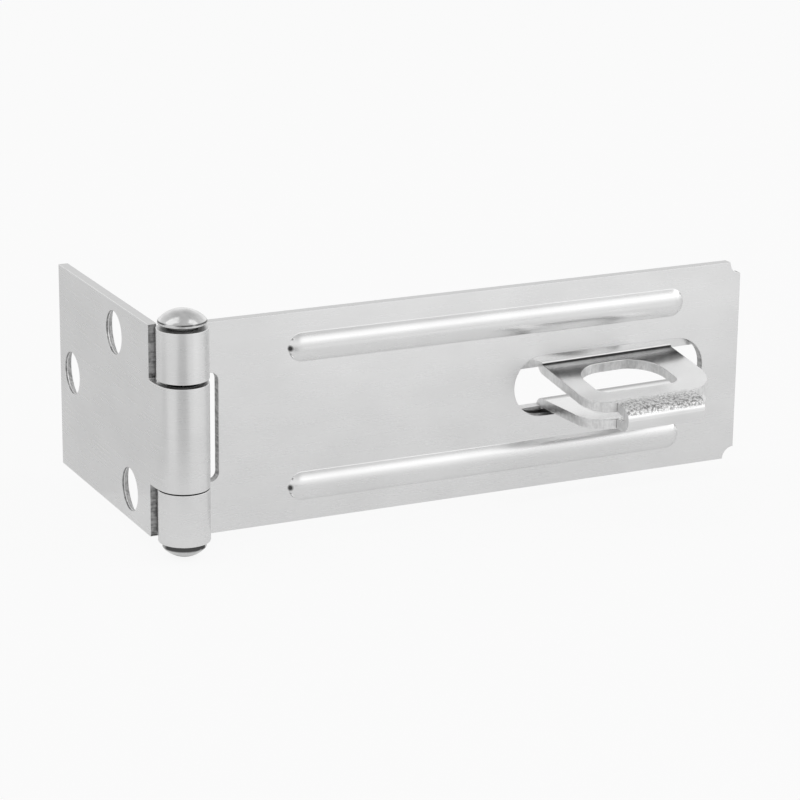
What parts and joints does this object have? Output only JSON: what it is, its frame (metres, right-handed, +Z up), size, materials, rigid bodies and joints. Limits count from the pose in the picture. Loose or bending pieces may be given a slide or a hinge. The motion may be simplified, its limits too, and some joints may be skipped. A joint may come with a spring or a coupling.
{
  "type": "padlock hasp",
  "caption": "Hinged padlock hasp: a short screw-on leaf, a long slotted strap with pressed ribs, a domed hinge pin and a folded sheet staple standing in the slot.",
  "frame": {"origin": "Centre of the hinge leaf's middle screw hole, on its mounting face.", "axes": "+X runs along the strap and out of the mounting face, +Z up the hinge pin towards its head, -Y from the origin towards the hinge. The leaves stand at a right angle."},
  "size_m": [0.1159, 0.0684, 0.0441],
  "materials": {
    "zinc_plated_sheet": "bright zinc plating on pressed sheet steel, satin, with sheared edges",
    "zinc_plated_pin": "bright zinc plating on a cold headed steel pin, smooth"
  },
  "bodies": {
    "hinge_leaf": {"hinge_leaf": "zinc_plated_sheet"},
    "strap": {"hasp_leaf": "zinc_plated_sheet", "hinge_pin": "zinc_plated_pin", "staple": "zinc_plated_sheet"}
  },
  "joints": [
    {"name": "strap_hinge", "type": "hinge", "parent": "hinge_leaf", "child": "strap", "pos_m": [0.00485, -0.0423, 0], "axis": [0, 0, 1], "range_deg": [-90, 90]}
  ]
}
